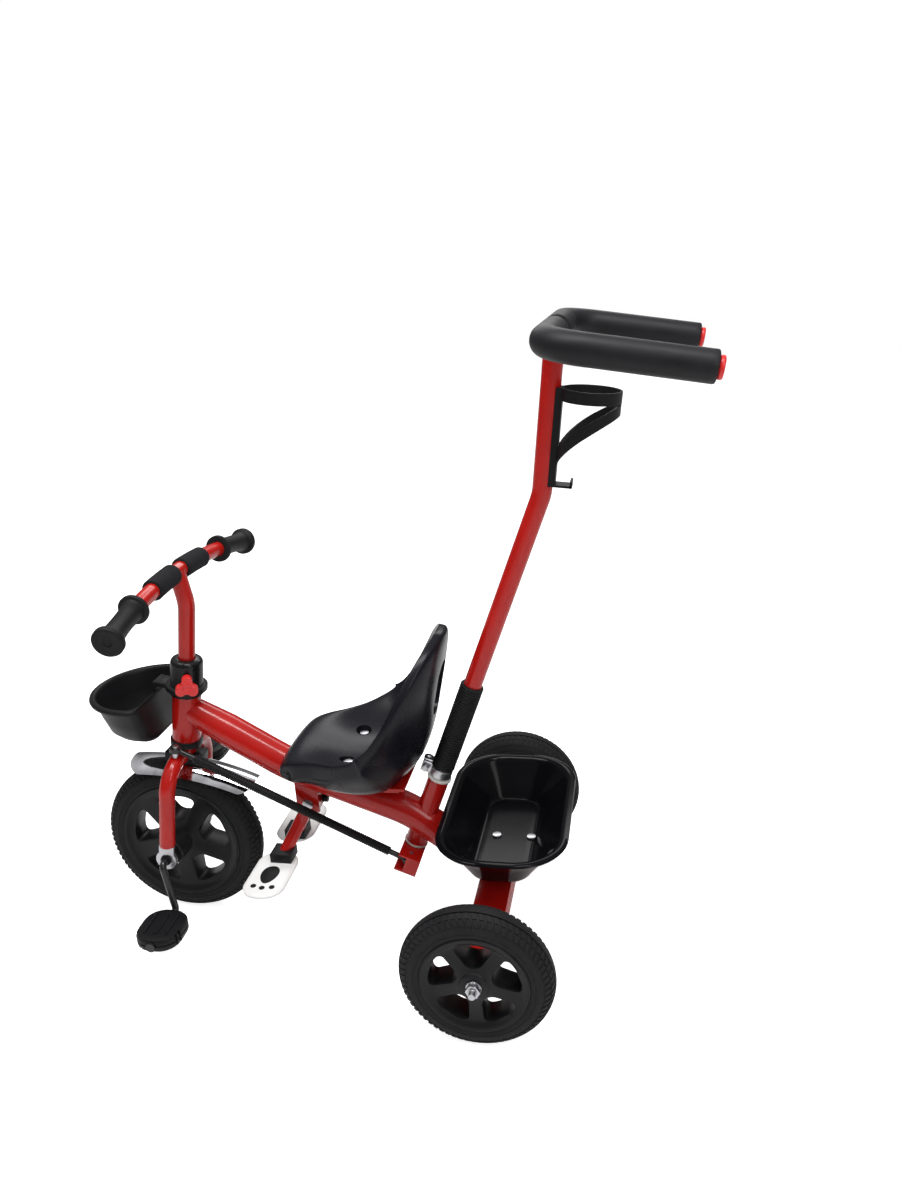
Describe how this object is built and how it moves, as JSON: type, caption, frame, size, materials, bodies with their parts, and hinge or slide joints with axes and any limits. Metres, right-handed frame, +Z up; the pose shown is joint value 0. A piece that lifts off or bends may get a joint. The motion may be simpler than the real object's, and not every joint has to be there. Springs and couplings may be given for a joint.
{
  "type": "toddler push along trike",
  "caption": "Steel pedal trike with a bucket seat, foam tyres, front and rear baskets, footrest and a tall push bar that turns the fork through a rod.",
  "frame": {"origin": "centre of the trike's length and width, at floor level", "axes": "+X forward, +Y to the rider's left, +Z up"},
  "size_m": [0.8994, 0.5346, 0.8748],
  "materials": {
    "red_paint": "gloss powder coat",
    "black_plastic": "satin moulded plastic",
    "black_rubber": "soft moulded rubber",
    "foam": "closed-cell foam",
    "tyre": "foam rubber tyre",
    "zinc_steel": "zinc plated",
    "chrome": "bright chrome",
    "black_paint": "black enamel",
    "red_plastic": "gloss moulded plastic",
    "pale_plastic": "satin moulded plastic",
    "white_plastic": "satin moulded plastic"
  },
  "bodies": {
    "frame": {"main_tube": "red_paint", "head_tube": "red_paint", "rear_crossbar": "red_paint", "crossbar_plugs": "black_plastic", "push_sleeve": "red_paint", "seat_bracket": "red_paint", "basket_bracket": "red_paint", "footrest_lug": "red_paint", "rear_axle": "zinc_steel", "axle_washers": "zinc_steel", "axle_nuts": "zinc_steel", "head_bushes": "black_plastic", "push_bushes": "pale_plastic", "seat": "black_plastic", "seat_bolts": "zinc_steel", "rear_basket": "black_plastic", "basket_bolts": "zinc_steel", "footrest_pin": "zinc_steel"},
    "steering": {"steerer": "red_paint", "fork_left_leg": "red_paint", "fork_right_leg": "red_paint", "fork_dropouts": "zinc_steel", "axle_bushes": "black_plastic", "mudguard": "chrome", "mudguard_saddle": "black_plastic", "stem_collar": "black_plastic", "front_basket": "black_plastic", "rod_stud": "zinc_steel"},
    "handlebar": {"handlebar_stem": "red_paint", "handlebar": "red_paint", "bar_foam": "foam", "grips": "black_rubber"},
    "clamp_knob": {"clamp_knob": "red_plastic"},
    "front_wheel": {"front_rim": "black_plastic", "front_tyre": "tyre", "crank": "black_paint"},
    "left_pedal": {"left_pedal": "black_plastic"},
    "right_pedal": {"right_pedal": "black_plastic"},
    "rear_left_wheel": {"rear_left_rim": "black_plastic", "rear_left_tyre": "tyre"},
    "rear_right_wheel": {"rear_right_rim": "black_plastic", "rear_right_tyre": "tyre"},
    "push_socket": {"push_socket": "red_paint", "steering_lever": "red_paint", "lever_pin": "zinc_steel", "push_clamp": "zinc_steel", "clamp_bolt": "zinc_steel"},
    "clamp_lever": {"clamp_lever": "black_plastic"},
    "push_bar": {"push_bar": "red_paint", "push_handle": "red_paint", "handle_foam": "foam", "handle_caps": "red_plastic", "ribbed_sleeve": "black_rubber", "bottle_cage": "black_plastic"},
    "steering_rod": {"steering_rod": "black_paint", "rod_cover": "black_rubber"},
    "footrest": {"footrest_arms": "red_paint", "footplates": "white_plastic", "footplate_clips": "black_plastic"},
    "footrest_latch": {"footrest_latch": "black_plastic"}
  },
  "joints": [
    {"name": "steer", "type": "hinge", "parent": "frame", "child": "steering", "pos_m": [0.32467, 0, 0.125], "axis": [-0.1616, 0, 0.9869], "range_deg": [-25, 25]},
    {"name": "handlebar_height", "type": "slide", "parent": "steering", "child": "handlebar", "axis": [-0.1616, 0, 0.9869], "range_m": [0, 0.045]},
    {"name": "clamp_knob_turn", "type": "hinge", "parent": "steering", "child": "clamp_knob", "pos_m": [0.28058, 0, 0.39421], "axis": [-0.4171, 0.9063, -0.0683], "range_deg": [0, 360]},
    {"name": "front_wheel_spin", "type": "hinge", "parent": "steering", "child": "front_wheel", "pos_m": [0.32467, 0, 0.125], "axis": [0, 1, 0], "continuous": true},
    {"name": "left_pedal_spin", "type": "hinge", "parent": "front_wheel", "child": "left_pedal", "pos_m": [0.31147, 0.1345, 0.05015], "axis": [0, 1, 0], "continuous": true},
    {"name": "right_pedal_spin", "type": "hinge", "parent": "front_wheel", "child": "right_pedal", "pos_m": [0.33787, -0.1345, 0.19984], "axis": [0, 1, 0], "continuous": true},
    {"name": "rear_left_spin", "type": "hinge", "parent": "frame", "child": "rear_left_wheel", "pos_m": [-0.16933, 0.227, 0.1], "axis": [0, 1, 0], "continuous": true},
    {"name": "rear_right_spin", "type": "hinge", "parent": "frame", "child": "rear_right_wheel", "pos_m": [-0.16933, -0.227, 0.1], "axis": [0, 1, 0], "continuous": true},
    {"name": "push_turn", "type": "hinge", "parent": "frame", "child": "push_socket", "pos_m": [-0.04473, 0, 0.1384], "axis": [-0.3584, 0, 0.9336], "range_deg": [-32, 32]},
    {"name": "push_height", "type": "slide", "parent": "push_socket", "child": "push_bar", "axis": [-0.3584, 0, 0.9336], "range_m": [0, 0.08]},
    {"name": "clamp_lever_swing", "type": "hinge", "parent": "push_socket", "child": "clamp_lever", "pos_m": [-0.06797, -0.0128, 0.26423], "axis": [-0.3584, 0, 0.9336], "range_deg": [0, 50]},
    {"name": "rod_swing", "type": "hinge", "parent": "steering", "child": "steering_rod", "pos_m": [0.29736, 0.038, 0.29178], "axis": [-0.1616, 0, 0.9869], "range_deg": [-25, 25]},
    {"name": "footrest_fold", "type": "hinge", "parent": "frame", "child": "footrest", "pos_m": [0.11167, 0, 0.2], "axis": [0, 1, 0], "range_deg": [0, 45]},
    {"name": "latch_pull", "type": "slide", "parent": "frame", "child": "footrest_latch", "axis": [-1, 0, 0], "range_m": [0, 0.006], "stiffness_N_per_m": 600}
  ],
  "couplings": [
    {"joint": "push_turn", "follows": "steer", "ratio": 1.2667},
    {"joint": "rod_swing", "follows": "steer", "ratio": -1}
  ]
}
